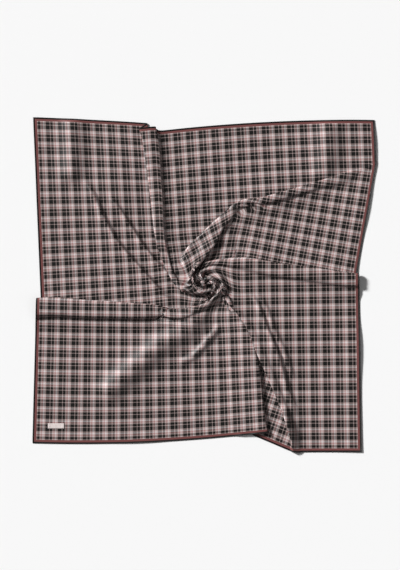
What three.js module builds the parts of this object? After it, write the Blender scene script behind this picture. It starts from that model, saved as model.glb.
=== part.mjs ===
// A square silk scarf laid out flat, pinched at its middle and given a part turn,
// so that seven tucks run out from a small rosette. Millimetres, +Z up, origin on the
// surface under the middle of the scarf's outline, +X to the right, +Y up the cloth.
import * as THREE from "three";

// Driving sizes
const SIDE = 900; // the square before it is pinched
const HALF = SIDE / 2;
const THICKNESS = 1; // silk with its rolled hem, as one even sheet
const TWIST_CENTRE = [7.5, 4]; // where the rosette sits, before the outline is centred
const OUTLINE_MIDDLE = [1.1, -0.5]; // the middle of the outline, which the origin goes under
const SWIRL_TURN = 95; // degrees that the middle of the rosette is turned
const SWIRL_RADIUS = 38; // how far out the turn is felt
const GATHER_RADIUS = 45; // inside this the panels run together
const PAST_MIDDLE = 0.33; // how far a panel's hem runs on past the middle, as a share
const LIP_FROM = [0.17, 0.22]; // shares past the middle between which a lip rises
const RIDGE_HEIGHT = 13; // a fold that isn't turned right over stands no higher
const TURNED_OVER = 150; // degrees of lift past which a fold lies on itself
const LEAST_LEAN = 0.1; // sine of the lift below which RIDGE_HEIGHT no longer counts
const LEAST_TAKEN = 0.02; // a tuck never takes up less cloth than this
const FOLD_COVER = 1.6; // how far the upper layer stays above a hidden fold
const SECOND_FALL = 14; // degrees of the slope past the hidden fold
const CREST_SHARE = 0.45; // share of a fall's height that its crest bends through
const EASED_OVER = 70; // half the width over which cloth is taken in as gentle fullness
const CURL = { height: 12, pitch: 24, start: 90, hole: 7, fade: [26, 52] }; // the rosette
const CURL_REACH = 40; // the tucks lie lower inside this
const CURL_PRESS = 0.7; // and at its middle they are this share lower
const LABEL = { length: 40, width: 12.5, thickness: 0.8, gap: 0.3, x: -371, y: -352 };

// Panels, counter-clockwise. Each is a part of the square that is drawn inwards:
// how far, as [x, y], at its corner, at the two middles of its hems, at the centre
// by its own lay, and close in, where all panels meet. bow is how far the hem along
// X bulges up between its corner and its middle, lip is how far it steps up past its
// middle, and own gives the reaches between which the panel takes its own lay.
const PANELS = [
  { name: "upper right", x: 1, y: 1, corner: [-24, -38], hemX: [-31, -65], hemY: [-6, -26],
    middle: [-5, -59], inner: [-5, -50], bow: 11, lip: 12, own: [60, 200] },
  { name: "upper left", x: -1, y: 1, corner: [23, -31], hemX: [20, -62], hemY: [42, -34],
    middle: [51, -1], inner: [46, -4], bow: 5, lip: 0, own: [60, 200] },
  { name: "lower left", x: -1, y: -1, corner: [21, 54], hemX: [26, 76], hemY: [33, 52],
    middle: [15, 40], inner: [15, 38], bow: -12, lip: 0, own: [60, 200] },
  { name: "flap", x: 1, y: -1, corner: [-76, -33], hemX: [-40, 143], hemY: [100, 20],
    middle: [60, 40], inner: [-30, 30], bow: 0, lip: 0, own: [60, 200] },
  { name: "lower right", x: 1, y: -1, corner: [-56, 32], hemX: [-63, 31], hemY: [-62, 31],
    middle: [-73, 23], inner: [-66, 20], bow: 0, lip: 0, own: [60, 200] },
  { name: "right", x: 1, y: 1, corner: [0, -42], hemX: [34, -13], hemY: [-79, -38],
    middle: [-65, 58], inner: [-55, 5], bow: 0, lip: 0, own: [60, 200] },
  { name: "band", x: 1, y: 1, corner: [156, 301], hemX: [-151, -112], hemY: [-177, 138],
    middle: [33, -2], inner: [20, -18], bow: 0, lip: 0, own: [35, 75], joins: "right" },
];
const BAND_JOINS = [190, 280]; // reaches between which the band runs into the panel it joins

// Tucks, counter-clockwise. Tuck k parts panel k from panel k + 1. onTop is -1 where
// the clockwise panel lies on top, and 1 where the other does. A row is a place
// along the tuck's upper fold edge: its reach from the centre of the cloth, its
// bearing, the radius of the hidden fold and of the rolled edge, how far round the
// cloth is turned, how far it runs on, and the slope at which it comes down again.
const COLUMNS = ["reach", "bearing", "tucked", "roll", "lift", "run", "fall"];
const TUCKS = [
  { name: "top", onTop: -1, rows: [
    [0, 166, 0.3, 0.3, 20, 0, 30], [30, 158, 0.8, 0.8, 80, 1, 35], [60, 150, 1, 2, 150, 3, 50],
    [120, 134, 1.2, 3, 180, 8, 80], [183, 123.4, 1.2, 3.6, 180, 16, 105],
    [324, 110.5, 1.2, 4, 180, 26, 125], [468, 106, 1.2, 4, 180, 34, 125] ] },
  { name: "left", onTop: 1, rows: [
    [0, 286, 0.3, 0.3, 20, 0, 30], [30, 274, 0.8, 0.8, 80, 1, 30], [60, 261, 1, 2, 150, 3, 40],
    [119, 236, 1.2, 5, 180, 8, 50], [183, 211, 1.2, 7, 180, 18, 54],
    [299, 197.1, 1.2, 7.6, 180, 27, 58], [458, 190.8, 1.2, 7.4, 180, 29, 58] ] },
  { name: "bottom", onTop: -1, rows: [
    [0, 306, 0.3, 0.3, 20, 0, 30], [30, 305, 0.8, 0.8, 80, 1, 30], [60, 304, 1, 1.4, 150, 1, 26],
    [124, 301.1, 1.2, 2.4, 180, 4, 18], [183, 299.6, 1.2, 3, 180, 6, 12],
    [260, 295.6, 1.2, 3.4, 180, 8, 12], [391, 288.6, 1.2, 3.4, 180, 10, 12],
    [469, 286.5, 1.2, 3.2, 180, 10, 12] ] },
  { name: "flap", onTop: 1, rows: [
    [0, 350, 0.3, 0.3, 20, 0, 30], [30, 344, 0.8, 0.8, 80, 1, 30], [60, 338, 1, 1.4, 150, 1, 30],
    [124, 328.5, 1.2, 2.4, 180, 3, 26], [200, 323, 1.2, 2.6, 180, 5, 24],
    [283, 314.2, 1.2, 2.8, 180, 6, 24], [353, 309.8, 1.2, 3, 180, 6, 28],
    [420, 306.8, 1.2, 2.8, 180, 5, 32], [470, 304.6, 1.2, 2.6, 170, 4, 32],
    [500, 303.4, 1.6, 2.6, 120, 4, 30], [530, 302.3, 3, 4, 60, 4, 24] ] },
  { name: "right", onTop: -1, rows: [
    [0, 410, 0.3, 0.3, 20, 0, 30], [30, 402, 0.8, 0.8, 80, 1, 30], [60, 393, 1, 1.6, 150, 2, 30],
    [97, 381.7, 1.2, 3, 180, 5, 40], [158, 374.3, 1.2, 4.4, 180, 12, 48],
    [256, 366, 1.2, 5.6, 180, 20, 50], [343, 362.3, 1.2, 5.6, 180, 20, 50],
    [448, 359.7, 1.2, 5, 180, 20, 50] ] },
  { name: "band lower", onTop: 1, rows: [
    [0, 500, 0.3, 0.3, 20, 0, 30], [40, 470, 0.8, 1, 80, 1, 30], [67, 451.3, 1, 2, 150, 2, 20],
    [82, 439.1, 1.2, 3.6, 180, 4, 16], [101, 431.1, 1.2, 4.4, 180, 6, 14],
    [123, 423.7, 1.2, 4.8, 180, 7, 14], [157, 419.7, 1.2, 4.6, 180, 7, 14],
    [177, 416, 1.2, 4, 180, 6, 16], [204, 413.4, 1.2, 3, 110, 5, 20], [228, 411, 3, 3, 24, 4, 16],
    [300, 402, 3, 3, 3, 2, 8], [420, 395, 3, 3, 3, 2, 8], [567, 390, 3, 3, 3, 2, 8] ] },
  { name: "band upper", onTop: -1, rows: [
    [0, 512, 0.3, 0.3, 20, 0, 30], [30, 506, 0.8, 0.8, 80, 1, 30], [60, 497, 1, 1.6, 150, 2, 16],
    [72, 492, 1.2, 2.2, 180, 4, 12], [110, 478, 1.2, 2.6, 180, 5, 12],
    [128, 468, 1.2, 2.8, 180, 6, 12], [141, 457, 1.2, 3, 180, 6, 14],
    [150, 446, 1.2, 3.2, 180, 6, 16], [164, 436.6, 1.2, 3.4, 180, 6, 20],
    [205, 421.6, 1.2, 3.8, 180, 8, 34], [270, 412.9, 1.2, 4.4, 180, 10, 48],
    [360, 405.6, 1.2, 4, 180, 9, 44], [417, 402.7, 1.2, 3.2, 170, 8, 34],
    [450, 401.2, 1.6, 2.8, 120, 6, 28], [490, 399.6, 3, 3, 50, 4, 20],
    [567, 397.5, 4, 4, 12, 3, 12] ] },
];

// Soft creases that stand up from a panel: the points [x, y] of each ridge over the
// laid cloth, its height and its half width.
const CREASES = [
  { panel: "upper left", height: 7, width: 14, points: [[-299, 267], [-257, 175], [-194, 77],
    [-111, -15], [-60, -40]] },
  { panel: "upper left", height: 6, width: 13, points: [[-241, 227], [-181, 140], [-124, 60],
    [-40, -20]] },
  { panel: "upper left", height: 11, width: 24, points: [[-330, 420], [-328, 345], [-332, 250]] },
  { panel: "upper right", height: 11, width: 27, points: [[312, 410], [308, 330], [292, 250]] },
  { panel: "lower left", height: 14, width: 30, points: [[-262, -290], [-206, -233],
    [-156, -193], [-111, -150], [-64, -123], [-14, -93], [22, -70]] },
  { panel: "lower right", height: 5, width: 14, points: [[114, -15], [156, -110], [201, -243],
    [226, -330]] },
  { panel: "lower right", height: 9, width: 15, points: [[196, -300], [208, -370], [214, -440]] },
];
const CREASE_ENDS = [0.1, 0.85]; // shares of its run where a crease has risen, and sinks again
const CREASE_CUT = 0.05; // height that a crease's foot is cut off at

// Mesh steps: rings from the centre to the hem, steps on a tuck's stretches up to the
// foot of its first fall, and steps over each panel before and after its corner.
const RINGS = [6, 13, 20, 28, 37, 47, 58, 71, 86, 103, 122, 144, 170, 200, 234, 272, 312, 356,
  402, 450];
const STEPS = [2, 1, 3, 1, 2, 1, 1];
const PANEL_STEPS = [[4, 4], [5, 6], [6, 6], [2, 0], [4, 5], [6, 0], [2, 0]];
const LAST_NODE = [STEPS.length - 1, 1]; // the foot of the first fall
const REACH_STEP = 4; // the columns are worked out at every such reach
const EVEN_REACH = [25, 85]; // inside the first the columns are spread evenly
const LEAST_GAP = 0.0006; // radians between one column and the next
const HEIGHT_POWER = 4; // where tucks meet, the higher one carries the cloth
const PASSES = 9; // rounds of the two small iterations below
const TURN_STEP = 0.5; // reach over which a tuck's turn is measured
const NUDGE = 0.05; // step for a surface direction

const radians = (degrees) => (degrees * Math.PI) / 180;
const clamp = (value, low, high) => Math.min(Math.max(value, low), high);

// A smooth curve through one column of a tuck's rows, level past the last row.
function along(rows, column, reach) {
  const last = rows.length - 1;
  if (reach >= rows[last][0]) return rows[last][column];
  const chord = (i) => (rows[i + 1][column] - rows[i][column]) / (rows[i + 1][0] - rows[i][0]);
  const slope = (i) => {
    if (i === 0) return chord(0);
    if (i === last) return 0;
    const before = chord(i - 1);
    const after = chord(i);
    return before * after <= 0 ? 0 : (2 * before * after) / (before + after);
  };
  let i = 0;
  while (reach > rows[i + 1][0]) i += 1;
  const span = rows[i + 1][0] - rows[i][0];
  const f = (reach - rows[i][0]) / span;
  const g = 1 - f;
  return rows[i][column] * (1 + 2 * f) * g * g + slope(i) * span * f * g * g
    + rows[i + 1][column] * f * f * (3 - 2 * f) - slope(i + 1) * span * f * f * g;
}

function rowAt(tuck, reach) {
  return Object.fromEntries(COLUMNS.map((name, i) => [name, along(tuck.rows, i, reach)]));
}

// How far a panel is drawn in at a point of the flat cloth.
function drawnIn(panel, x, y) {
  const reach = Math.hypot(x, y);
  const u = (x * panel.x) / HALF;
  const v = (y * panel.y) / HALF;
  const own = THREE.MathUtils.smoothstep(reach, ...panel.own);
  const gathered = 1 - Math.exp(-((reach / GATHER_RADIUS) ** 2));
  const moved = [0, 1].map((i) => {
    const lay = panel.middle[i] * (1 - u) * (1 - v) + panel.hemY[i] * u * (1 - v)
      + panel.hemX[i] * (1 - u) * v + panel.corner[i] * u * v;
    const f = Math.max((u + PAST_MIDDLE) / (1 + PAST_MIDDLE), 0);
    const lip = panel.lip * THREE.MathUtils.smoothstep(-u, ...LIP_FROM);
    const bulge = i === 1 ? (panel.bow * 4 * f * (1 - f) + lip) * v : 0;
    const mixed = panel.inner[i] * (1 - own) + (lay + bulge) * own;
    return TWIST_CENTRE[i] + (mixed - TWIST_CENTRE[i]) * gathered;
  });
  if (panel.joins === undefined) return moved;
  const joined = THREE.MathUtils.smoothstep(reach, ...BAND_JOINS);
  const other = drawnIn(PANELS.find(({ name }) => name === panel.joins), x, y);
  return moved.map((value, i) => value * (1 - joined) + other[i] * joined);
}

const lowPanel = (k) => PANELS[TUCKS[k].onTop < 0 ? (k + 1) % PANELS.length : k];
const highPanel = (k) => PANELS[TUCKS[k].onTop < 0 ? k : (k + 1) % PANELS.length];

// The three stretches that drop by a height at a slope.
function fallen(height, fall) {
  const crest = (CREST_SHARE * height) / (1 - Math.cos(fall));
  const slope = (height - 2 * crest * (1 - Math.cos(fall))) / Math.sin(fall);
  return [
    { turn: -fall, length: crest * fall },
    { turn: 0, length: slope },
    { turn: fall, length: crest * fall },
  ];
}

const lengthOf = (stretches) => stretches.reduce((sum, { length }) => sum + length, 0);

// How far across the surface a fall goes.
const fallWidth = (stretches) => walk(stretches, lengthOf(stretches))[0];

// The section across a tuck at one reach: the stretches of cloth from the low panel
// up, back, forward again and down in two falls, each as its length and its turn.
const sections = new Map();
function sectionAt(k, reach) {
  const key = k + ":" + reach.toFixed(4);
  if (sections.has(key)) return sections.get(key);
  const tuck = TUCKS[k];
  const row = rowAt(tuck, reach);
  const bearing = radians(row.bearing);
  const pitch = reach * radians(rowAt(tuck, reach + TURN_STEP).bearing
    - rowAt(tuck, Math.max(reach - TURN_STEP, 0)).bearing);
  const length = Math.hypot(1, pitch);
  const tangent = [
    (Math.cos(bearing) - pitch * Math.sin(bearing)) / length,
    (Math.sin(bearing) + pitch * Math.cos(bearing)) / length,
  ];
  const across = [-tangent[1] * tuck.onTop, tangent[0] * tuck.onTop];
  const x = reach * Math.cos(bearing);
  const y = reach * Math.sin(bearing);
  const high = drawnIn(highPanel(k), x, y);
  const low = drawnIn(lowPanel(k), x, y);
  const apart = (high[0] - low[0]) * across[0] + (high[1] - low[1]) * across[1];
  const taken = Math.max(-apart, LEAST_TAKEN);
  const lift = radians(row.lift);
  const fall = radians(row.fall);
  const bends = row.tucked + row.roll;
  const bendLoss = bends * (lift - Math.sin(lift));
  const bendHeight = bends * (1 - Math.cos(lift));
  const turnedOver = clamp((row.lift - TURNED_OVER) / (180 - TURNED_OVER), 0, 1);
  const spare = Math.max(RIDGE_HEIGHT - bendHeight, 0);
  const mostBack = spare / Math.max(Math.sin(lift), LEAST_LEAN) + turnedOver * HALF;
  let back = Math.max(taken / 2 - Math.PI * row.roll, 0);
  let first = [];
  let second = [];
  for (let pass = 0; pass < PASSES; pass += 1) {
    const height = bendHeight + back * Math.sin(lift);
    const lowHeight = Math.min((2 * row.tucked + FOLD_COVER) * turnedOver, height / 2);
    first = fallen(height - lowHeight, fall);
    second = fallen(lowHeight, radians(SECOND_FALL));
    const fallLoss = lengthOf([...first, ...second]) - fallWidth(first) - fallWidth(second);
    const most = clamp((taken - bendLoss - fallLoss) / (1 - Math.cos(lift)), 0, mostBack);
    back = (back + most) / 2;
  }
  const covered = turnedOver * (back + row.tucked + FOLD_COVER);
  const stretches = [
    { turn: lift, length: row.tucked * lift },
    { turn: 0, length: back },
    { turn: -lift, length: row.roll * lift },
    { turn: 0, length: row.run },
    ...first,
    { turn: 0, length: Math.max(covered - row.run - fallWidth(first), 0) },
    ...second,
  ];
  const end = lengthOf(stretches);
  const edge = row.tucked * lift + back + (row.roll * lift) / 2;
  const loss = Math.max(end - walk(stretches, end)[0], LEAST_TAKEN);
  const lossAfterEdge = loss - (edge - walk(stretches, edge)[0]);
  const section = { tuck, bearing, pitch, stretches, loss, taken, shift: -lossAfterEdge - edge };
  sections.set(key, section);
  return section;
}

// Walks s millimetres of cloth from the start of a section, and gives how far that
// is across the surface, and how high.
function walk(stretches, s) {
  let across = Math.min(s, 0);
  let height = 0;
  let heading = 0;
  let start = 0;
  for (const { turn, length } of stretches) {
    const step = clamp(s - start, 0, length);
    if (turn === 0 || length === 0) {
      across += Math.cos(heading) * step;
      height += Math.sin(heading) * step;
    } else {
      const curve = turn / length;
      across += (Math.sin(heading + curve * step) - Math.sin(heading)) / curve;
      height += (Math.cos(heading) - Math.cos(heading + curve * step)) / curve;
    }
    heading += turn;
    start += length;
  }
  return [across + Math.max(s - start, 0), height];
}

// Ridges with a bell-shaped section round a line of points on the laid cloth.
function creaseHeight(x, y, shareOf) {
  let sum = 0;
  for (const { panel, points, height, width } of CREASES) {
    const whole = points.slice(1).reduce(
      (run, to, i) => run + Math.hypot(to[0] - points[i][0], to[1] - points[i][1]), 0);
    let nearest = Infinity;
    let along = 0;
    let before = 0;
    points.slice(1).forEach((to, i) => {
      const from = points[i];
      const run = [to[0] - from[0], to[1] - from[1]];
      const length = Math.hypot(...run);
      const f = clamp(((x - from[0]) * run[0] + (y - from[1]) * run[1]) / length ** 2, 0, 1);
      const away = Math.hypot(x - from[0] - f * run[0], y - from[1] - f * run[1]);
      if (away < nearest) {
        nearest = away;
        along = (before + f * length) / whole;
      }
      before += length;
    });
    const ends = THREE.MathUtils.smoothstep(along, 0, CREASE_ENDS[0])
      * (1 - THREE.MathUtils.smoothstep(along, CREASE_ENDS[1], 1));
    const bell = height * Math.exp(-((nearest / width) ** 2)) * ends * shareOf(panel);
    sum += Math.max(bell - CREASE_CUT, 0);
  }
  return sum;
}

// The rosette: one ridge that winds in towards a small hole, by distance and bearing
// from the twist's centre.
function curlHeight(radius, bearing) {
  const phase = bearing + (2 * Math.PI * radius) / CURL.pitch + radians(CURL.start);
  const ridge = ((1 + Math.cos(phase)) / 2) * THREE.MathUtils.smoothstep(radius, 0, CURL.hole);
  const faded = 1 - THREE.MathUtils.smoothstep(radius, ...CURL.fade);
  return CURL.height * ridge * faded;
}

// Where a point of the flat cloth lies: the share of each panel at the point moves
// it, and the tucks, creases and rosette lift it.
function laid(x, y) {
  const reach = Math.hypot(x, y);
  const angle = Math.atan2(y, x);
  let raised = 0;
  const past = TUCKS.map((tuck, k) => {
    const section = sectionAt(k, reach);
    const ahead = THREE.MathUtils.euclideanModulo(angle - section.bearing + Math.PI, 2 * Math.PI);
    const s = (tuck.onTop * reach * (ahead - Math.PI)) / Math.hypot(1, section.pitch);
    const [across, height] = walk(section.stretches, s - section.shift);
    const tight = Math.min(section.loss / section.taken, 1);
    const share = tight * clamp((s - section.shift - across) / section.loss, 0, 1)
      + (1 - tight) * THREE.MathUtils.smoothstep(s, -EASED_OVER, EASED_OVER);
    raised += Math.max(height, 0) ** HEIGHT_POWER;
    return tuck.onTop > 0 ? share : 1 - share;
  });
  const shares = past.map((here, k) => past[(k + past.length - 1) % past.length] * (1 - here));
  const total = shares.reduce((sum, share) => sum + share, 0);
  let px = x;
  let py = y;
  PANELS.forEach((panel, k) => {
    if (shares[k] === 0) return;
    const move = drawnIn(panel, x, y);
    px += (move[0] * shares[k]) / total;
    py += (move[1] * shares[k]) / total;
  });
  const dx = px - TWIST_CENTRE[0];
  const dy = py - TWIST_CENTRE[1];
  const radius = Math.hypot(dx, dy);
  const turn = radians(SWIRL_TURN) * Math.exp(-((radius / SWIRL_RADIUS) ** 2));
  const place = new THREE.Vector3(
    TWIST_CENTRE[0] - OUTLINE_MIDDLE[0] + dx * Math.cos(turn) - dy * Math.sin(turn),
    TWIST_CENTRE[1] - OUTLINE_MIDDLE[1] + dx * Math.sin(turn) + dy * Math.cos(turn),
    THICKNESS / 2);
  const pressed = 1 - CURL_PRESS * (1 - THREE.MathUtils.smoothstep(radius, 0, CURL_REACH));
  place.z += raised ** (1 / HEIGHT_POWER) * pressed;
  place.z += curlHeight(radius, Math.atan2(dy, dx) + turn);
  place.z += creaseHeight(place.x, place.y,
    (name) => shares[PANELS.findIndex((panel) => panel.name === name)] / total);
  return place;
}

// The bearing of a tuck's stretch at one reach, for a length s along its section.
function tuckBearing(k, s, reach) {
  const section = sectionAt(k, reach);
  const away = (s + section.shift) * Math.hypot(1, section.pitch) / reach;
  return section.bearing + section.tuck.onTop * away;
}

// Columns of the mesh, counter-clockwise, each as its bearing at any reach: the
// nodes of each tuck's section, then even steps over the panel to the next tuck.
function columnsOfCloth() {
  const columns = [];
  const wrap = (angle) => angle + 2 * Math.PI;
  TUCKS.forEach((tuck, k) => {
    const nodes = [];
    STEPS.forEach((steps, stretch) => {
      for (let i = 0; i < steps; i += 1) nodes.push([stretch, i / steps]);
    });
    nodes.push(LAST_NODE);
    if (tuck.onTop < 0) nodes.reverse();
    const nodeBearing = (j, [stretch, f]) => (reach) => {
      const { stretches } = sectionAt(j, reach);
      const before = lengthOf(stretches.slice(0, stretch));
      return tuckBearing(j, before + f * stretches[stretch].length, reach);
    };
    nodes.forEach((node) => columns.push(nodeBearing(k, node)));
    const next = (k + 1) % TUCKS.length;
    const turns = next === 0 ? wrap : (angle) => angle;
    const from = nodeBearing(k, nodes[nodes.length - 1]);
    const firstOfNext = TUCKS[next].onTop < 0 ? LAST_NODE : [0, 0];
    const to = (reach) => turns(nodeBearing(next, firstOfNext)(reach));
    const panel = PANELS[next];
    const [before, after] = PANEL_STEPS[next];
    let shares = [];
    if (after > 0) {
      const corner = HALF * Math.SQRT2;
      let bearing = Math.atan2(panel.y, panel.x);
      while (bearing < from(corner)) bearing += 2 * Math.PI;
      const cornerShare = (bearing - from(corner)) / (to(corner) - from(corner));
      for (let i = 1; i <= before; i += 1) shares.push((cornerShare * i) / before);
      for (let i = 1; i < after; i += 1) shares.push(cornerShare + ((1 - cornerShare) * i) / after);
    } else {
      shares = Array.from({ length: before }, (_, i) => (i + 1) / (before + 1));
    }
    shares.forEach((share) => {
      columns.push((reach) => from(reach) + (to(reach) - from(reach)) * share);
    });
  });
  return columns;
}

// The bearings of all columns at one reach, in order: at least a small gap apart, no
// more than once round, and evenly spread close to the centre.
function orderedBearings(columns, reach) {
  let last = -Infinity;
  const apart = columns.map((column) => {
    last = Math.max(column(reach), last + LEAST_GAP);
    return last;
  });
  const first = apart[0];
  const room = Math.min((2 * Math.PI - LEAST_GAP) / (last - first), 1);
  const own = THREE.MathUtils.smoothstep(reach, ...EVEN_REACH);
  return apart.map((bearing, i) => {
    const even = first + (2 * Math.PI * i) / columns.length;
    return even * (1 - own) + (first + (bearing - first) * room) * own;
  });
}

// The bearing of one column at a reach, from the table of ordered bearings.
function bearingAt(table, column, reach) {
  const place = clamp(reach / REACH_STEP - 1, 0, table.length - 1);
  const row = Math.min(Math.floor(place), table.length - 2);
  return THREE.MathUtils.lerp(table[row][column], table[row + 1][column], place - row);
}

// The distance from the centre to the hem on one bearing.
function hemReach(bearing) {
  return HALF / Math.max(Math.abs(Math.cos(bearing)), Math.abs(Math.sin(bearing)));
}

// Where a column crosses a square ring.
function clothPoint(table, column, ring) {
  let reach = ring;
  for (let pass = 0; pass < PASSES; pass += 1) {
    reach = (ring / HALF) * hemReach(bearingAt(table, column, reach));
  }
  const bearing = bearingAt(table, column, reach);
  reach = (ring / HALF) * hemReach(bearing);
  return [reach * Math.cos(bearing), reach * Math.sin(bearing)];
}

// Both faces of the sheet at a point: half the thickness off the laid surface.
function faces(x, y) {
  const middle = laid(x, y);
  const alongX = laid(x + NUDGE, y).sub(laid(x - NUDGE, y));
  const alongY = laid(x, y + NUDGE).sub(laid(x, y - NUDGE));
  const normal = alongX.cross(alongY).normalize().multiplyScalar(THICKNESS / 2);
  const upper = middle.clone().add(normal);
  const lower = middle.clone().sub(normal);
  upper.z = Math.max(upper.z, 0);
  lower.z = Math.max(lower.z, 0);
  return [upper, lower];
}

function clothGeometry() {
  const columns = columnsOfCloth();
  const count = columns.length;
  const table = Array.from({ length: Math.ceil((HALF * Math.SQRT2) / REACH_STEP) }, (_, i) => (
    orderedBearings(columns, REACH_STEP * (i + 1))));
  const points = [faces(0, 0)];
  RINGS.forEach((ring) => {
    for (let i = 0; i < count; i += 1) points.push(faces(...clothPoint(table, i, ring)));
  });
  const at = (ring, column) => 1 + ring * count + (column % count);
  const half = points.length;
  const triangles = [];
  const bothFaces = (a, b, c) => triangles.push(a, b, c, a + half, c + half, b + half);
  for (let i = 0; i < count; i += 1) {
    bothFaces(0, at(0, i), at(0, i + 1));
    for (let r = 0; r < RINGS.length - 1; r += 1) {
      bothFaces(at(r, i), at(r + 1, i), at(r + 1, i + 1));
      bothFaces(at(r, i), at(r + 1, i + 1), at(r, i + 1));
    }
    const a = at(RINGS.length - 1, i);
    const b = at(RINGS.length - 1, i + 1);
    triangles.push(a, a + half, b + half, a, b + half, b);
  }
  const places = [...points.map(([upper]) => upper), ...points.map(([, lower]) => lower)];
  return new THREE.BufferGeometry().setFromPoints(places).setIndex(triangles);
}

// The cloth, with its narrow rolled hem in the same piece.
const silk = new THREE.MeshStandardMaterial({ color: 0x8f7f7b, roughness: 0.45, metalness: 0 });
const cloth = new THREE.Mesh(clothGeometry(), silk);
cloth.name = "scarf_cloth";

// A small blank woven label, sewn flat near the lower left corner.
const labelSize = [LABEL.length, LABEL.width, LABEL.thickness];
const labelTape = new THREE.MeshStandardMaterial({ color: 0xd9cbc6, roughness: 0.7, metalness: 0 });
const label = new THREE.Mesh(new THREE.BoxGeometry(...labelSize), labelTape);
label.name = "sewn_label";
label.position.set(LABEL.x, LABEL.y, THICKNESS + LABEL.gap + LABEL.thickness / 2);

const scarf = new THREE.Group();
scarf.name = "silk_scarf";
scarf.add(cloth, label);

export default scarf;
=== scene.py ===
import math

import bpy
import numpy as np
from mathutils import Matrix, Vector


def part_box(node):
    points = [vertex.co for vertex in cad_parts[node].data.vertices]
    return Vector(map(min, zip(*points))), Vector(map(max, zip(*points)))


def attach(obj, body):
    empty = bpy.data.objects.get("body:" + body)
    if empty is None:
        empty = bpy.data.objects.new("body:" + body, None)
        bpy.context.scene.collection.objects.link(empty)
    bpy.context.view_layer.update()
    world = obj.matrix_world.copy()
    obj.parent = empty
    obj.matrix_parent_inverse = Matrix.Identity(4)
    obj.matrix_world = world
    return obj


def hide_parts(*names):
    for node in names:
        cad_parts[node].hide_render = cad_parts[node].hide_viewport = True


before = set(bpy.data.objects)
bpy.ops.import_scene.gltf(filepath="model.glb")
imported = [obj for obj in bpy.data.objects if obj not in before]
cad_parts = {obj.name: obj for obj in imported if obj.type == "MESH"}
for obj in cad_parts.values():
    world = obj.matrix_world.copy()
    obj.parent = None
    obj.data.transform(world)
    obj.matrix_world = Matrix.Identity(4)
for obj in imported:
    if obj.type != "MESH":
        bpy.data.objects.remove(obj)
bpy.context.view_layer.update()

# Camera: straight above the cloth, far enough away that the square stays square.
# The frame is 570 rows of 2.5 mm high, and its middle lies a little left of the origin.
MM = 0.001
CAMERA_HEIGHT = 4.0
FRAME_HEIGHT = 1.425
FRAME_MIDDLE = (-0.011, 0.0)
SENSOR = 24.0

camera_data = bpy.data.cameras.new("camera")
camera_data.sensor_fit = "VERTICAL"
camera_data.sensor_height = SENSOR
camera_data.lens = SENSOR * CAMERA_HEIGHT / FRAME_HEIGHT
camera_data.clip_end = 50
camera = bpy.data.objects.new("camera", camera_data)
camera.location = (*FRAME_MIDDLE, CAMERA_HEIGHT)
bpy.context.collection.objects.link(camera)
bpy.context.scene.camera = camera
bpy.context.scene.view_settings.view_transform = "Standard"


# The scarf: one square of silk twill with a narrow rolled hem, pinched at its middle
# and given a part turn, so that tucks run out from a small rosette. Every size of
# its lay is in millimetres on the flat square, whose middle is the rosette.
SIDE = 900.0  # the square before it is pinched
HALF = SIDE / 2
TOP_FACE = 1.0  # the upper face of cloth that lies flat
SILK = 0.7  # thickness of the silk as it shows
HEM_ROLL = 1.9  # thickness of the rolled hem
HEM_WIDTH = 2.6
TWIST_CENTRE = (7.5, 4.0)  # where the rosette sits, before the outline is centred
OUTLINE_MIDDLE = (1.1, -0.5)  # the middle of the outline, which the origin goes under
SWIRL_TURN = math.radians(95)  # how far the middle of the rosette is turned
SWIRL_RADIUS = 38.0  # how far out the turn is felt
GATHER_RADIUS = 45.0  # inside this the panels run together
PAST_MIDDLE = 0.33  # how far a panel's hem runs on past the middle, as a share
LIP_FROM = (0.17, 0.22)  # shares past the middle between which a lip rises
RIDGE_HEIGHT = 13.0  # a fold that isn't turned right over stands no higher
TURNED_OVER = 150.0  # degrees of lift past which a fold lies on itself
LEAST_LEAN = 0.1  # the sine of the lift counts as at least this against that height
FOLD_COVER = 1.6  # how far the upper layer stays above a hidden fold
SECOND_FALL = math.radians(14)  # the slope past the hidden fold
CREST_SHARE = 0.45  # share of a fall's height that its crest bends through
LEAST_TAKEN = 0.02  # a tuck never takes up less cloth than this
EASED_OVER = 70.0  # half the width over which the rest is taken in as gentle fullness
CURL_HEIGHT = 12.0  # the rosette: one ridge that winds into a small hole
CURL_PITCH = 24.0
CURL_START = math.radians(90)
CURL_HOLE = 7.0
CURL_FADE = (26.0, 52.0)
CURL_REACH = 40.0  # the tucks lie lower inside this
CURL_PRESS = 0.7  # and at its middle they are this share lower
HEIGHT_POWER = 4  # where tucks meet, the higher one carries the cloth
TURN_STEP = 0.5  # a tuck's turn is measured from this far inside to this far outside
NUDGE = 0.05  # step for a surface direction
TINY = 1e-9
PASSES = 8

# Panels, counter-clockwise: the signs of its corner, then how far it is drawn in at
# that corner, at the middles of its two hems, at the centre and close in, the bulge
# of its hem, the step up of its hem past the middle, and from where to where outwards
# it takes its own lay. The band joins the right panel further out.
PANELS = (
    ("upper right", 1, 1, (-24, -38), (-31, -65), (-6, -26), (-5, -59), (-5, -50), 11, 12, (60, 200)),
    ("upper left", -1, 1, (23, -31), (20, -62), (42, -34), (51, -1), (46, -4), 5, 0, (60, 200)),
    ("lower left", -1, -1, (21, 54), (26, 76), (33, 52), (15, 40), (15, 38), -12, 0, (60, 200)),
    ("flap", 1, -1, (-76, -33), (-40, 143), (100, 20), (60, 40), (-30, 30), 0, 0, (60, 200)),
    ("lower right", 1, -1, (-56, 32), (-63, 31), (-62, 31), (-73, 23), (-66, 20), 0, 0, (60, 200)),
    ("right", 1, 1, (0, -42), (34, -13), (-79, -38), (-65, 58), (-55, 5), 0, 0, (60, 200)),
    ("band", 1, 1, (156, 301), (-151, -112), (-177, 138), (33, -2), (20, -18), 0, 0, (35, 75)),
)
RIGHT, BAND = 5, 6
BAND_JOINS = (190.0, 280.0)

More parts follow.
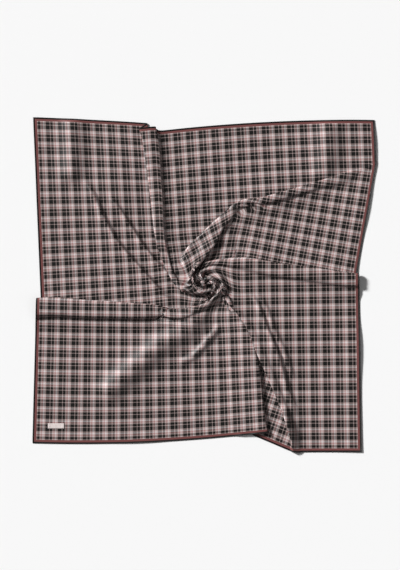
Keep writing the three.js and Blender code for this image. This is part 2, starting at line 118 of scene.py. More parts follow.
# Tucks, counter-clockwise: the side that lies on top, then rows of reach, bearing,
# radius of the hidden fold, radius of the rolled edge, lift, run and fall.
TUCKS = (
    ("top", -1, ((0, 166, 0.3, 0.3, 20, 0, 30), (30, 158, 0.8, 0.8, 80, 1, 35),
                 (60, 150, 1, 2, 150, 3, 50), (120, 134, 1.2, 3, 180, 8, 80),
                 (183, 123.4, 1.2, 3.6, 180, 16, 105), (324, 110.5, 1.2, 4, 180, 26, 125),
                 (468, 106, 1.2, 4, 180, 34, 125))),
    ("left", 1, ((0, 286, 0.3, 0.3, 20, 0, 30), (30, 274, 0.8, 0.8, 80, 1, 30),
                 (60, 261, 1, 2, 150, 3, 40), (119, 236, 1.2, 5, 180, 8, 50),
                 (183, 211, 1.2, 7, 180, 18, 54), (299, 197.1, 1.2, 7.6, 180, 27, 58),
                 (458, 190.8, 1.2, 7.4, 180, 29, 58))),
    ("bottom", -1, ((0, 306, 0.3, 0.3, 20, 0, 30), (30, 305, 0.8, 0.8, 80, 1, 30),
                    (60, 304, 1, 1.4, 150, 1, 26), (124, 301.1, 1.2, 2.4, 180, 4, 18),
                    (183, 299.6, 1.2, 3, 180, 6, 12), (260, 295.6, 1.2, 3.4, 180, 8, 12),
                    (391, 288.6, 1.2, 3.4, 180, 10, 12), (469, 286.5, 1.2, 3.2, 180, 10, 12))),
    ("flap", 1, ((0, 350, 0.3, 0.3, 20, 0, 30), (30, 344, 0.8, 0.8, 80, 1, 30),
                 (60, 338, 1, 1.4, 150, 1, 30), (124, 328.5, 1.2, 2.4, 180, 3, 26),
                 (200, 323, 1.2, 2.6, 180, 5, 24), (283, 314.2, 1.2, 2.8, 180, 6, 24),
                 (353, 309.8, 1.2, 3, 180, 6, 28), (420, 306.8, 1.2, 2.8, 180, 5, 32),
                 (470, 304.6, 1.2, 2.6, 170, 4, 32), (500, 303.4, 1.6, 2.6, 120, 4, 30),
                 (530, 302.3, 3, 4, 60, 4, 24))),
    ("right", -1, ((0, 410, 0.3, 0.3, 20, 0, 30), (30, 402, 0.8, 0.8, 80, 1, 30),
                   (60, 393, 1, 1.6, 150, 2, 30), (97, 381.7, 1.2, 3, 180, 5, 40),
                   (158, 374.3, 1.2, 4.4, 180, 12, 48), (256, 366, 1.2, 5.6, 180, 20, 50),
                   (343, 362.3, 1.2, 5.6, 180, 20, 50), (448, 359.7, 1.2, 5, 180, 20, 50))),
    ("band lower", 1, ((0, 500, 0.3, 0.3, 20, 0, 30), (40, 470, 0.8, 1, 80, 1, 30),
                       (67, 451.3, 1, 2, 150, 2, 20), (82, 439.1, 1.2, 3.6, 180, 4, 16),
                       (101, 431.1, 1.2, 4.4, 180, 6, 14), (123, 423.7, 1.2, 4.8, 180, 7, 14),
                       (157, 419.7, 1.2, 4.6, 180, 7, 14), (177, 416, 1.2, 4, 180, 6, 16),
                       (204, 413.4, 1.2, 3, 110, 5, 20), (228, 411, 3, 3, 24, 4, 16),
                       (300, 402, 3, 3, 3, 2, 8), (420, 395, 3, 3, 3, 2, 8),
                       (567, 390, 3, 3, 3, 2, 8))),
    ("band upper", -1, ((0, 512, 0.3, 0.3, 20, 0, 30), (30, 506, 0.8, 0.8, 80, 1, 30),
                        (60, 497, 1, 1.6, 150, 2, 16), (72, 492, 1.2, 2.2, 180, 4, 12),
                        (110, 478, 1.2, 2.6, 180, 5, 12), (128, 468, 1.2, 2.8, 180, 6, 12),
                        (141, 457, 1.2, 3, 180, 6, 14), (150, 446, 1.2, 3.2, 180, 6, 16),
                        (164, 436.6, 1.2, 3.4, 180, 6, 20), (205, 421.6, 1.2, 3.8, 180, 8, 34),
                        (270, 412.9, 1.2, 4.4, 180, 10, 48), (360, 405.6, 1.2, 4, 180, 9, 44),
                        (417, 402.7, 1.2, 3.2, 170, 8, 34), (450, 401.2, 1.6, 2.8, 120, 6, 28),
                        (490, 399.6, 3, 3, 50, 4, 20), (567, 397.5, 4, 4, 12, 3, 12))),
)
REACH, BEARING, TUCKED, ROLL, LIFT, RUN, FALL = range(7)


def smooth(value, low, high):
    """0 below low, 1 above high, and 3 f squared less 2 f cubed between."""
    f = np.clip((value - low) / (high - low), 0, 1)
    return f * f * (3 - 2 * f)


def along(rows, column, reach):
    """A cubic through one column of rows whose slope at a row is the harmonic mean of
    its neighbours' slopes, so it never overshoots, level past the last row."""
    at = np.array([row[REACH] for row in rows], float)
    value = np.array([row[column] for row in rows], float)
    chord = np.diff(value) / np.diff(at)
    slope = np.zeros_like(value)
    slope[0] = chord[0]
    same_way = chord[:-1] * chord[1:] > 0
    both = np.where(same_way, chord[:-1] + chord[1:], 1)
    slope[1:-1] = np.where(same_way, 2 * chord[:-1] * chord[1:] / both, 0)
    i = np.clip(np.searchsorted(at, reach, side="right") - 1, 0, len(at) - 2)
    span = at[i + 1] - at[i]
    f = np.clip((reach - at[i]) / span, 0, 1)
    g = 1 - f
    return (value[i] * (1 + 2 * f) * g * g + slope[i] * span * f * g * g
            + value[i + 1] * f * f * (3 - 2 * f) - slope[i + 1] * span * f * f * g)


def drawn_in(index, x, y):
    """How far a panel moves: a bilinear blend of its corner, hem middles and centre,
    its inner value close in, and the twist's own centre inside the gathering."""
    _, side_x, side_y, corner, hem_x, hem_y, middle, inner, bow, lip, own_reach = PANELS[index]
    reach = np.hypot(x, y)
    u = x * side_x / HALF
    v = y * side_y / HALF
    own = smooth(reach, *own_reach)
    gathered = 1 - np.exp(-(reach / GATHER_RADIUS) ** 2)
    f = np.maximum((u + PAST_MIDDLE) / (1 + PAST_MIDDLE), 0)
    bulge = (0, (bow * 4 * f * (1 - f) + lip * smooth(-u, *LIP_FROM)) * v)
    moved = []
    for i in range(2):
        lay = (middle[i] * (1 - u) * (1 - v) + hem_y[i] * u * (1 - v)
               + hem_x[i] * (1 - u) * v + corner[i] * u * v + bulge[i])
        mixed = inner[i] * (1 - own) + lay * own
        moved.append(TWIST_CENTRE[i] + (mixed - TWIST_CENTRE[i]) * gathered)
    if index == BAND:
        joined = smooth(reach, *BAND_JOINS)
        right = drawn_in(RIGHT, x, y)
        moved = [m * (1 - joined) + r * joined for m, r in zip(moved, right)]
    return moved


def walk(stretches, s):
    """Follows s millimetres of cloth through stretches that each turn evenly over a
    length, and gives how far across the surface that is, and how high."""
    across = np.minimum(s, 0.0)
    height = np.zeros_like(across)
    heading = np.zeros_like(across)
    start = np.zeros_like(across)
    for turn, length in stretches:
        step = np.clip(s - start, 0, length)
        straight = np.abs(turn) < TINY
        curve = np.where(straight, 1, turn / np.maximum(length, TINY))
        end = heading + np.where(straight, 0, curve * step)
        across = across + np.where(straight, np.cos(heading) * step,
                                   (np.sin(end) - np.sin(heading)) / curve)
        height = height + np.where(straight, np.sin(heading) * step,
                                   (np.cos(heading) - np.cos(end)) / curve)
        heading = heading + turn
        start = start + length
    return across + np.maximum(s - start, 0), height


def fallen(height, fall):
    """The three stretches that drop by a height at a slope, and how far across they go."""
    crest = CREST_SHARE * height / (1 - np.cos(fall))
    slope = (height - 2 * crest * (1 - np.cos(fall))) / np.sin(fall)
    stretches = ((-fall, crest * fall), (0 * fall, slope), (fall, crest * fall))
    return stretches, 2 * crest * np.sin(fall) + slope * np.cos(fall)


def section_at(k, reach):
    """The section across tuck k at each reach: its bearing and pitch, the stretches
    of cloth from the low panel up, back, forward and down, and what they take up."""
    _, on_top, rows = TUCKS[k]
    following = (k + 1) % len(PANELS)
    low, high = (following, k) if on_top < 0 else (k, following)
    bearing = np.radians(along(rows, BEARING, reach))
    ahead = along(rows, BEARING, reach + TURN_STEP)
    behind = along(rows, BEARING, np.maximum(reach - TURN_STEP, 0))
    pitch = reach * np.radians(ahead - behind) / (2 * TURN_STEP)
    length = np.hypot(1, pitch)
    across_x = -(np.sin(bearing) + pitch * np.cos(bearing)) / length * on_top
    across_y = (np.cos(bearing) - pitch * np.sin(bearing)) / length * on_top
    x = reach * np.cos(bearing)
    y = reach * np.sin(bearing)
    high_x, high_y = drawn_in(high, x, y)
    low_x, low_y = drawn_in(low, x, y)
    taken = np.maximum(-(high_x - low_x) * across_x - (high_y - low_y) * across_y, LEAST_TAKEN)
    tucked = along(rows, TUCKED, reach)
    roll = along(rows, ROLL, reach)
    lift_degrees = along(rows, LIFT, reach)
    lift = np.radians(lift_degrees)
    run = along(rows, RUN, reach)
    fall = np.radians(along(rows, FALL, reach))
    level = 0 * lift
    bend_loss = (tucked + roll) * (lift - np.sin(lift))
    bend_height = (tucked + roll) * (1 - np.cos(lift))
    turned_over = np.clip((lift_degrees - TURNED_OVER) / (180 - TURNED_OVER), 0, 1)
    spare = np.maximum(RIDGE_HEIGHT - bend_height, 0)
    most_back = spare / np.maximum(np.sin(lift), LEAST_LEAN) + turned_over * HALF
    back = np.maximum(taken / 2 - math.pi * roll, 0)
    for _ in range(PASSES + 1):
        height = bend_height + back * np.sin(lift)
        low_height = np.minimum((2 * tucked + FOLD_COVER) * turned_over, 0.5 * height)
        first, first_width = fallen(height - low_height, fall)
        second, second_width = fallen(low_height, SECOND_FALL + level)
        lengths = sum(length for _, length in first + second)
        fall_loss = lengths - first_width - second_width
        most = np.clip((taken - bend_loss - fall_loss) / (1 - np.cos(lift)), 0, most_back)
        back = 0.5 * (back + most)
    low_run = np.maximum(turned_over * (back + tucked + FOLD_COVER) - run - first_width, 0)
    stretches = ((lift, tucked * lift), (level, back), (-lift, roll * lift), (level, run),
                 *first, (level, low_run), *second)
    end = sum(length for _, length in stretches)
    edge = tucked * lift + back + 0.5 * roll * lift
    loss = np.maximum(end - walk(stretches, end)[0], LEAST_TAKEN)
    after_edge = loss - (edge - walk(stretches, edge)[0])
    return bearing, pitch, stretches, loss, -after_edge - edge, taken


def laid(x, y):
    """Where points of the flat square lie: each panel's share at the point moves it,
    and the tucks and the rosette's ridge lift it. Also gives the panels' shares."""
    reach = np.hypot(x, y)
    angle = np.arctan2(y, x)
    past = []
    raised = 0
    for k, (_, on_top, _) in enumerate(TUCKS):
        bearing, pitch, stretches, loss, shift, taken = section_at(k, reach)
        away = np.mod(angle - bearing + math.pi, 2 * math.pi) - math.pi
        s = on_top * reach * away / np.hypot(1, pitch)
        across, height = walk(stretches, s - shift)
        tight = np.minimum(loss / taken, 1)
        share = tight * np.clip((s - shift - across) / loss, 0, 1)
        share = share + (1 - tight) * smooth(s, -EASED_OVER, EASED_OVER)
        raised = raised + np.maximum(height, 0) ** HEIGHT_POWER
        past.append(share if on_top > 0 else 1 - share)
    shares = [past[k - 1] * (1 - past[k]) for k in range(len(PANELS))]
    total = sum(shares)
    px = x
    py = y
    for index, share in enumerate(shares):
        move_x, move_y = drawn_in(index, x, y)
        px = px + move_x * share / total
        py = py + move_y * share / total
    dx = px - TWIST_CENTRE[0]
    dy = py - TWIST_CENTRE[1]
    radius = np.hypot(dx, dy)
    turn = SWIRL_TURN * np.exp(-(radius / SWIRL_RADIUS) ** 2)
    laid_x = TWIST_CENTRE[0] - OUTLINE_MIDDLE[0] + dx * np.cos(turn) - dy * np.sin(turn)
    laid_y = TWIST_CENTRE[1] - OUTLINE_MIDDLE[1] + dx * np.sin(turn) + dy * np.cos(turn)
    curl = np.arctan2(dy, dx) + turn + 2 * math.pi * radius / CURL_PITCH + CURL_START
    ridge = (1 + np.cos(curl)) / 2 * smooth(radius, 0, CURL_HOLE)
    z = raised ** (1 / HEIGHT_POWER) * (1 - CURL_PRESS * (1 - smooth(radius, 0, CURL_REACH)))
    z = z + CURL_HEIGHT * ridge * (1 - smooth(radius, *CURL_FADE))
    return laid_x, laid_y, z, [share / total for share in shares]


# Soft creases that stand up from a panel, as they run over the laid cloth: the panel,
# the points of the ridge, its height and its half width. Each rises and sinks again
# over these shares of its run.
CREASE_RISE = (0, 0.1)
CREASE_SINK = (0.85, 1)
CREASES = (
    ("upper left", ((-299, 267), (-279, 227), (-257, 175), (-226, 117), (-194, 77), (-156, 35),
                    (-111, -15), (-60, -40)), 10, 5.5),
    ("upper left", ((-241, 227), (-212, 187), (-181, 140), (-156, 100), (-124, 60), (-79, 15),
                    (-40, -20)), 9, 5.5),
    ("upper left", ((-330, 420), (-328, 345), (-332, 250)), 11, 24),
    ("upper right", ((312, 410), (308, 330), (292, 250)), 11, 27),
    ("lower left", ((-262, -290), (-206, -233), (-156, -193), (-111, -150), (-64, -123),
                    (-14, -93), (22, -70)), 14, 30),
    ("lower left", ((-61, -195), (-26, -178), (9, -138), (44, -95)), 6, 9),
    ("lower right", ((114, -15), (135, -50), (156, -110), (184, -173), (201, -243), (219, -295),
                     (226, -330)), 6.5, 6),
    ("lower right", ((136, -22), (157, -62), (178, -120), (205, -180), (222, -245)), 6, 6),
    ("lower right", ((196, -300), (208, -370), (214, -440)), 9, 15),
)


def crease_height(x, y, shares):
    """Ridges with a bell-shaped section round a line of points, faded at both ends."""
    names = [panel[0] for panel in PANELS]
    total = np.zeros_like(x)
    for name, points, height, width in CREASES:
        points = np.array(points, float)
        lengths = np.hypot(*np.diff(points, axis=0).T)
        whole = lengths.sum()
        best = np.full_like(x, np.inf)
        where = np.zeros_like(x)
        before = 0.0
        for (ax, ay), (bx, by), length in zip(points[:-1], points[1:], lengths):
            f = np.clip(((x - ax) * (bx - ax) + (y - ay) * (by - ay)) / length ** 2, 0, 1)
            away = np.hypot(x - ax - f * (bx - ax), y - ay - f * (by - ay))
            where = np.where(away < best, (before + f * length) / whole, where)
            best = np.minimum(best, away)
            before += length
        ends = smooth(where, *CREASE_RISE) * (1 - smooth(where, *CREASE_SINK))
        total += height * np.exp(-(best / width) ** 2) * ends * shares[names.index(name)]
    return total


# Slow waves that silk keeps when it is laid down by hand.
WAVES = 14
WAVE_LENGTHS = (110.0, 300.0)
WAVE_HEIGHT = 0.55
waves_seed = np.random.default_rng(11)
wave_angles = waves_seed.uniform(0, 2 * math.pi, WAVES)
wave_lengths = waves_seed.uniform(*WAVE_LENGTHS, WAVES)
wave_starts = waves_seed.uniform(0, 2 * math.pi, WAVES)


def wave_height(x, y):
    """The sum of a few plane waves of seeded direction, length and start, never below 0."""
    total = np.zeros_like(x)
    for angle, length, start in zip(wave_angles, wave_lengths, wave_starts):
        total += np.sin(2 * math.pi * (x * math.cos(angle) + y * math.sin(angle)) / length + start)
    return WAVE_HEIGHT * np.log1p(np.exp(total))


def hem_share(x, y):
    """1 on the rolled hem's middle line and 0 on the cloth inside it, as a half circle."""
    inward = HALF - np.maximum(np.abs(x), np.abs(y))
    off_middle = np.clip(np.abs(inward - HEM_WIDTH / 2) / (HEM_WIDTH / 2), 0, 1)
    return np.sqrt(1 - off_middle ** 2)


def both_faces(x, y):
    """The upper and lower face: half the local thickness either way along the normal."""

    def middle(at_x, at_y):
        laid_x, laid_y, z, shares = laid(at_x, at_y)
        z = z + crease_height(laid_x, laid_y, shares) + wave_height(at_x, at_y)
        return np.stack([laid_x, laid_y, z], axis=-1)

    along_x = middle(x + NUDGE, y) - middle(x - NUDGE, y)
    along_y = middle(x, y + NUDGE) - middle(x, y - NUDGE)
    normal = np.cross(along_x, along_y)
    normal /= np.linalg.norm(normal, axis=-1, keepdims=True)
    thickness = SILK + (HEM_ROLL - SILK) * hem_share(x, y)
    place = middle(x, y)
    place[..., 2] += np.where(hem_share(x, y) > 0, HEM_ROLL / 2, TOP_FACE - SILK / 2)
    half = 0.5 * thickness[..., None] * normal
    return place + half, place - half


# Mesh lines: rings that grow coarser outwards, and columns that follow the tucks and
# start further out on the panels, where there is room for them.
RING_FIRST = 2.4
RING_GROWTH = 0.011
HEM_RINGS = (444.0, 446.6, 447.2, 448.0, 448.7, 449.3, 449.7, 450.0)
HEM_ROOM = 8.0  # the plain rings end within this of the hem's first ring
REACHES = np.arange(0, 650, 2.0)  # where the columns' bearings are worked out
STRETCH_STEPS = (4, 3, 6, 3, 4, 2, 4)  # up to the foot of the first fall
PANEL_WIDTH = 7.0  # width of a panel's columns at the hem
CORNER_STRETCH = 1.15  # how much longer a hem with a corner is than an arc
LEVEL_RINGS = (0.0, 60.0, 160.0)  # where columns of each level start
EVEN_REACH = (25.0, 85.0)  # inside this the columns are spread evenly
LEAST_GAP = 0.0006


def ring_sizes():
    """Distances from the centre, each step a little longer than the one before."""
    rings = [RING_FIRST]
    while rings[-1] < HEM_RINGS[0] - HEM_ROOM:
        rings.append(rings[-1] + RING_FIRST + RING_GROWTH * rings[-1])
    return np.array(rings + list(HEM_RINGS))


def column_table(reaches):
    """The bearing of each column at each reach, counter-clockwise, and its level: the
    nodes of a tuck's section, then even steps over the panel to the next tuck."""
    node_bearings = []
    for k, (_, on_top, _) in enumerate(TUCKS):
        bearing, pitch, stretches, _, shift, _ = section_at(k, reaches)
        starts = np.cumsum([0 * reaches] + [length for _, length in stretches], axis=0)
        nodes = [starts[i] + f / steps * stretches[i][1]
                 for i, steps in enumerate(STRETCH_STEPS) for f in range(steps)]
        nodes.append(starts[len(STRETCH_STEPS)])
        away = (np.array(nodes) + shift) * np.hypot(1, pitch) / np.maximum(reaches, 1)
        node_bearings.append((bearing + on_top * away)[::on_top])
    rows = []
    levels = []
    for k, nodes in enumerate(node_bearings):
        rows += list(nodes)
        levels += [0] * len(nodes)
        once_round = 2 * math.pi if k == len(TUCKS) - 1 else 0
        following = node_bearings[(k + 1) % len(TUCKS)][0] + once_round
        last = nodes[-1]
        hem = np.searchsorted(reaches, HALF)
        quarter = math.pi / 2
        corners = quarter * (np.floor(last[-1] / quarter - 0.5) + 1.5)
        if corners < following[-1]:
            first_part = (corners - last[-1]) / (following[-1] - last[-1])
            width = HALF * (following[hem] - last[hem]) * CORNER_STRETCH
            counts = [max(round(width * part / PANEL_WIDTH), 1)
                      for part in (first_part, 1 - first_part)]
            shares = list(first_part * np.arange(1, counts[0] + 1) / counts[0])
            shares += list(first_part + (1 - first_part) * np.arange(1, counts[1]) / counts[1])
        else:
            count = max(round(HALF * (following[hem] - last[hem]) / PANEL_WIDTH), 2)
            shares = list(np.arange(1, count) / count)
        for i, share in enumerate(shares):
            rows.append(last + (following - last) * share)
            levels.append((0 if i % 4 == 3 else 1) if i % 2 else 2)
    table = np.array(rows)
    count = len(table)
    spread = np.arange(count)[:, None]
    table = np.maximum.accumulate(table - LEAST_GAP * spread, axis=0) + LEAST_GAP * spread
    room = (2 * math.pi - LEAST_GAP) / np.maximum(table[-1] - table[0], TINY)
    table = table[0] + (table - table[0]) * np.minimum(room, 1)
    even = table[0] + 2 * math.pi * spread / count
    own = smooth(reaches, *EVEN_REACH)
    return even * (1 - own) + table * own, np.array(levels)


def square_point(table, reaches, rings):
    """Points of the flat square where each column crosses each square ring."""
    def corner_reach(bearing):
        return 1 / np.maximum(np.abs(np.cos(bearing)), np.abs(np.sin(bearing)))

    points = []
    for bearings in table:
        reach = rings.copy()
        for _ in range(PASSES):
            bearing = np.interp(reach, reaches, bearings)
            reach = rings * corner_reach(bearing)
        bearing = np.interp(reach, reaches, bearings)
        reach = rings * corner_reach(bearing)
        points.append((reach * np.cos(bearing), reach * np.sin(bearing)))
    return np.array(points).transpose(1, 2, 0)  # [x or y][ring][column]


def ring_faces(starts, present):
    """Triangles between rings. Between two columns the outer ring may hold one more
    column than the inner, and then three triangles fill the gap instead of two."""
    faces = []
    for ring in range(len(starts) - 1):
        inner = np.flatnonzero(present[ring])
        outer = np.flatnonzero(present[ring + 1])
        place = np.searchsorted(outer, inner)
        a = starts[ring] + np.arange(len(inner))
        b = starts[ring] + (np.arange(len(inner)) + 1) % len(inner)
        c = starts[ring + 1] + place
        following = np.roll(place, -1)
        d = starts[ring + 1] + following
        gap = (following - place) % len(outer)
        plain = gap == 1
        faces.append(np.stack([a, c, d], 1)[plain])
        faces.append(np.stack([a, d, b], 1)[plain])
        split = ~plain
        extra = starts[ring + 1] + (place + 1) % len(outer)
        faces.append(np.stack([a, c, extra], 1)[split])
        faces.append(np.stack([a, extra, b], 1)[split])
        faces.append(np.stack([b, extra, d], 1)[split])
    return np.concatenate(faces)


def mesh_object(name, vertices, faces, uv=None):
    """A mesh in metres from vertices in millimetres, with one UV for each vertex."""
    mesh = bpy.data.meshes.new(name)
    mesh.from_pydata((vertices * MM).tolist(), [], faces.tolist())
    if uv is not None:
        loops = np.empty(len(mesh.loops), np.int32)
        mesh.loops.foreach_get("vertex_index", loops)
        layer = mesh.uv_layers.new(name="cloth")
        layer.data.foreach_set("uv", uv[loops].astype(np.float32).ravel())
    mesh.polygons.foreach_set("use_smooth", np.ones(len(mesh.polygons), bool))
    mesh.update()
    made = bpy.data.objects.new(name, mesh)
    bpy.context.collection.objects.link(made)
    return made


def make_cloth():
    """Both faces of the square on the same rings and columns, joined round the hem."""
    table, levels = column_table(REACHES)
    rings = ring_sizes()
    xs, ys = square_point(table, REACHES, rings)
    present = np.array([[ring >= LEVEL_RINGS[level] for level in levels] for ring in rings])
    x = np.concatenate([[0.0], xs[present]])
    y = np.concatenate([[0.0], ys[present]])
    upper, lower = both_faces(x, y)
    lower[:, 2] = np.maximum(lower[:, 2], 0)
    starts = 1 + np.concatenate([[0], np.cumsum(present.sum(axis=1))[:-1]])
    first = present[0].sum()
    around = np.arange(first)
    hub = np.stack([np.zeros(first, int), 1 + around, 1 + (around + 1) % first], 1)
    above = np.concatenate([hub, ring_faces(starts, present)])
    count = len(x)
    rim = starts[-1] + np.arange(count - starts[-1])
    onward = np.roll(rim, -1)
    edge = np.concatenate([np.stack([rim, rim + count, onward + count], 1),
                           np.stack([rim, onward + count, onward], 1)])
    faces = np.concatenate([above, above[:, ::-1] + count, edge])
    uv = np.stack([x, y], 1) / SIDE + 0.5
    return mesh_object("silk_square", np.concatenate([upper, lower]), faces, np.tile(uv, (2, 1)))


cloth = make_cloth()


# Silk twill, printed with a small check. The stripes run both ways, and where two
# colours cross they mix as thread does. The hem is black outside a rose brown band.
CHECK_REPEAT = 31.1
STRIPES = (  # width in mm and colour
    (9.5, "black"), (1.8, "pale"), (6.0, "black"), (3.6, "pale"),
    (1.8, "rose"), (2.4, "pale"), (1.6, "white"), (4.4, "pale"),
)
DYES = {"black": (0.0050, 0.0042, 0.0036), "pale": (0.435, 0.335, 0.32),
        "rose": (0.30, 0.11, 0.11), "white": (0.72, 0.70, 0.72)}
MIX_POWER = 1.6  # crossed threads look darker than their plain average
HEM_BLACK = 4.2
HEM_BAND = 9.2
HEM_COLOURS = ((0.0065, 0.0050, 0.0045), (0.16, 0.055, 0.052))
THREAD_TURN = 5.2  # twill: radians for each millimetre along the warp and the weft
THREAD_RELIEF = 0.25  # next to the slubs' own


def node(tree, kind, inputs=(), **settings):
    """Adds a node, sets its properties, and links or fills its inputs by place or name."""
    made = tree.nodes.new(kind)
    for name, value in settings.items():
        setattr(made, name, value)
    for key, value in dict(inputs).items():
        if isinstance(value, bpy.types.NodeSocket):
            tree.links.new(value, made.inputs[key])
        else:
            made.inputs[key].default_value = value
    return made


def math_node(tree, operation, *values):
    return node(tree, "ShaderNodeMath", dict(enumerate(values)), operation=operation).outputs[0]


def stripe_colour(tree, distance):
    """The dye at a distance across the cloth, in the mixing power's own scale."""
    part = math_node(tree, "FRACT", math_node(tree, "DIVIDE", distance, CHECK_REPEAT))
    ramp = node(tree, "ShaderNodeValToRGB", {0: part})
    ramp.color_ramp.interpolation = "CONSTANT"
    start = 0.0
    for i, (width, dye) in enumerate(STRIPES):
        stop = ramp.color_ramp.elements[i] if i < 2 else ramp.color_ramp.elements.new(1)
        stop.position = start / CHECK_REPEAT
        stop.color = (*[value ** (1 / MIX_POWER) for value in DYES[dye]], 1)
        start += width
    return ramp.outputs[0]


def silk_material():
    """Check, hem and a fine twill in cloth coordinates, with a satin surface."""
    material = bpy.data.materials.new("silk twill")
    material.use_nodes = True
    tree = material.node_tree
    tree.nodes.clear()
    uv = node(tree, "ShaderNodeUVMap", uv_map="cloth").outputs[0]
    place = node(tree, "ShaderNodeVectorMath", {0: uv, 1: (SIDE, SIDE, 0)},
                 operation="MULTIPLY").outputs[0]
    split = node(tree, "ShaderNodeSeparateXYZ", {0: place})
    x, y = split.outputs[0], split.outputs[1]
    crossed = node(tree, "ShaderNodeMix",
                   {0: 0.5, 6: stripe_colour(tree, x), 7: stripe_colour(tree, y)},
                   data_type="RGBA").outputs[2]
    check = node(tree, "ShaderNodeGamma", {0: crossed, 1: MIX_POWER}).outputs[0]
    off_x = math_node(tree, "ABSOLUTE", math_node(tree, "SUBTRACT", x, HALF))
    off_y = math_node(tree, "ABSOLUTE", math_node(tree, "SUBTRACT", y, HALF))
    inward = math_node(tree, "SUBTRACT", HALF, math_node(tree, "MAXIMUM", off_x, off_y))
    in_band = math_node(tree, "LESS_THAN", inward, HEM_BAND)
    in_roll = math_node(tree, "LESS_THAN", inward, HEM_BLACK)
    with_band = node(tree, "ShaderNodeMix", {0: in_band, 6: check, 7: (*HEM_COLOURS[1], 1)},
                     data_type="RGBA").outputs[2]
    colour = node(tree, "ShaderNodeMix", {0: in_roll, 6: with_band, 7: (*HEM_COLOURS[0], 1)},
                  data_type="RGBA").outputs[2]
    across_threads = math_node(tree, "MULTIPLY", math_node(tree, "ADD", x, y), THREAD_TURN)
    thread = math_node(tree, "MULTIPLY", math_node(tree, "SINE", across_threads), THREAD_RELIEF)
    slub = node(tree, "ShaderNodeTexNoise", {"Vector": place, "Scale": 0.35, "Detail": 3.0}).outputs[0]
    height = math_node(tree, "ADD", thread, slub)
    bump = node(tree, "ShaderNodeBump",
                {"Strength": 0.35, "Distance": 0.0002, "Height": height}).outputs[0]
    shader = node(tree, "ShaderNodeBsdfPrincipled",
                  {"Base Color": colour, "Roughness": 0.45, "Specular IOR Level": 0.35,
                   "Normal": bump})
    node(tree, "ShaderNodeOutputMaterial", {0: shader.outputs[0]})
    return material


cloth.data.materials.append(silk_material())
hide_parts("scarf_cloth")
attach(cloth, "root")


# Label: a bare strip of woven tape with turned-under ends, sewn flat near the lower
# left corner by a row of small stitches at each end.
label_low, label_high = [np.array(corner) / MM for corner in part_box("sewn_label")]
LABEL_STEPS = (48, 16)
LABEL_HALF = 0.35  # from the label's underside to the middle of its tape
LABEL_TOP = 0.2  # from there to its face
LABEL_EDGE = 0.8  # width over which its rim is rounded
LABEL_TURNED = (4.5, 5.5)  # where the turned-under ends stop, from each end
LABEL_TURNED_HEIGHT = 0.3
LABEL_STITCHES = (2.4, 0.5, 0.25)  # the stitched groove: place, half width and depth


def make_label():
    """A thin pillow: both faces on one grid, drawn together at the rim and thicker at
    the two turned-under ends."""
    u, v = np.meshgrid(*[np.linspace(0, 1, steps + 1) for steps in LABEL_STEPS])
    size = label_high - label_low
    x = label_low[0] + u * size[0]
    y = label_low[1] + v * size[1]
    rim = np.minimum(np.minimum(u, 1 - u) * size[0], np.minimum(v, 1 - v) * size[1])
    round_edge = np.sqrt(1 - (1 - np.clip(rim / LABEL_EDGE, 0, 1)) ** 2)
    from_end = np.minimum(u, 1 - u) * size[0]
    groove_place, groove_width, groove_depth = LABEL_STITCHES
    groove = groove_depth * np.exp(-((from_end - groove_place) / groove_width) ** 2)
    fold = LABEL_TURNED_HEIGHT * (1 - smooth(from_end, *LABEL_TURNED)) - groove
    middle = label_low[2] + LABEL_HALF
    upper = middle + (LABEL_TOP + fold) * round_edge
    lower = middle - LABEL_HALF * round_edge
    count = x.size
    vertices = np.concatenate([np.stack([x, y, upper], -1).reshape(-1, 3),
                               np.stack([x, y, lower], -1).reshape(-1, 3)])
    index = np.arange(count).reshape(x.shape)
    quads = np.stack([index[:-1, :-1], index[:-1, 1:], index[1:, 1:], index[1:, :-1]], -1)
    quads = quads.reshape(-1, 4)
    loop = np.concatenate([index[0, :-1], index[:-1, -1], index[-1, :0:-1], index[:0:-1, 0]])
    onward = np.roll(loop, -1)
    rim_quads = np.stack([loop, loop + count, onward + count, onward], -1)
    faces = np.concatenate([quads, quads[:, ::-1] + count, rim_quads])
    uv = np.stack([u.ravel(), v.ravel()], 1)
    return mesh_object("label_tape", vertices, faces, np.tile(uv, (2, 1)))


label = make_label()


RIB_TURN = 400.0  # radians over the label's length


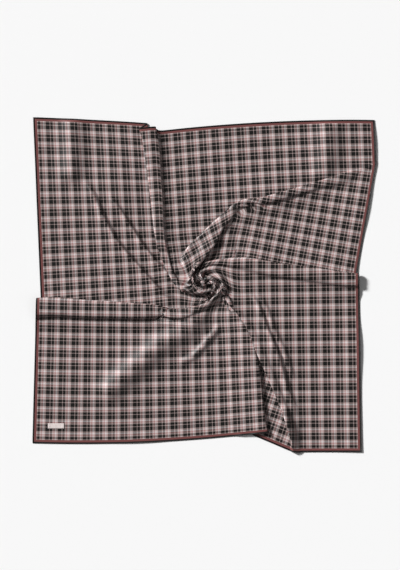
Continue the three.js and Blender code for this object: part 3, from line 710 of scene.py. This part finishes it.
def tape_material():
    """Off-white satin tape with fine ribs across it."""
    material = bpy.data.materials.new("woven tape")
    material.use_nodes = True
    tree = material.node_tree
    tree.nodes.clear()
    uv = node(tree, "ShaderNodeUVMap", uv_map="cloth").outputs[0]
    split = node(tree, "ShaderNodeSeparateXYZ", {0: uv})
    ribs = math_node(tree, "SINE", math_node(tree, "MULTIPLY", split.outputs[0], RIB_TURN))
    grain = node(tree, "ShaderNodeTexNoise", {"Vector": uv, "Scale": 40.0, "Detail": 3.0}).outputs[0]
    shade = node(tree, "ShaderNodeValToRGB", {0: grain})
    shade.color_ramp.elements[0].color = (0.62, 0.53, 0.51, 1)
    shade.color_ramp.elements[1].color = (0.80, 0.71, 0.69, 1)
    bump = node(tree, "ShaderNodeBump",
                {"Strength": 0.5, "Distance": 0.0002, "Height": ribs}).outputs[0]
    shader = node(tree, "ShaderNodeBsdfPrincipled",
                  {"Base Color": shade.outputs[0], "Roughness": 0.5, "Normal": bump})
    node(tree, "ShaderNodeOutputMaterial", {0: shader.outputs[0]})
    return material


label.data.materials.append(tape_material())
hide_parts("sewn_label")
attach(label, "root")


# Floor: a plain pale surface that the cloth lies on. It isn't part of the scarf.
FLOOR_SIDE = 14.0


def make_floor():
    corner = FLOOR_SIDE / 2 / MM
    vertices = np.array([(-corner, -corner, 0), (corner, -corner, 0), (corner, corner, 0),
                         (-corner, corner, 0)])
    made = mesh_object("floor", vertices, np.array([[0, 1, 2, 3]]))
    material = bpy.data.materials.new("pale floor")
    material.use_nodes = True
    shader = material.node_tree.nodes["Principled BSDF"]
    shader.inputs["Base Color"].default_value = (0.86, 0.86, 0.86, 1)
    shader.inputs["Roughness"].default_value = 0.9
    made.data.materials.append(material)


make_floor()


# Light: a broad soft lamp low on the upper left, a weaker one across from it, and a
# little even light from all round.
LAMPS = (  # name, direction towards it, angular size in degrees, strength
    ("lamp", (-0.78, 0.48, 0.48), 12, 6.25),
    ("fill", (0.9, -0.5, 0.9), 50, 0.3),
)
ROOM_LIGHT = 0.10

for name, towards, size, strength in LAMPS:
    lamp_data = bpy.data.lights.new(name, "SUN")
    lamp_data.angle = math.radians(size)
    lamp_data.energy = strength
    lamp = bpy.data.objects.new(name, lamp_data)
    lamp.location = Vector(towards) * 3
    lamp.rotation_euler = Vector(towards).to_track_quat("Z", "Y").to_euler()
    bpy.context.collection.objects.link(lamp)

world = bpy.data.worlds.new("room")
world.use_nodes = True
world.node_tree.nodes["Background"].inputs["Color"].default_value = (1, 1, 1, 1)
world.node_tree.nodes["Background"].inputs["Strength"].default_value = ROOM_LIGHT
bpy.context.scene.world = world
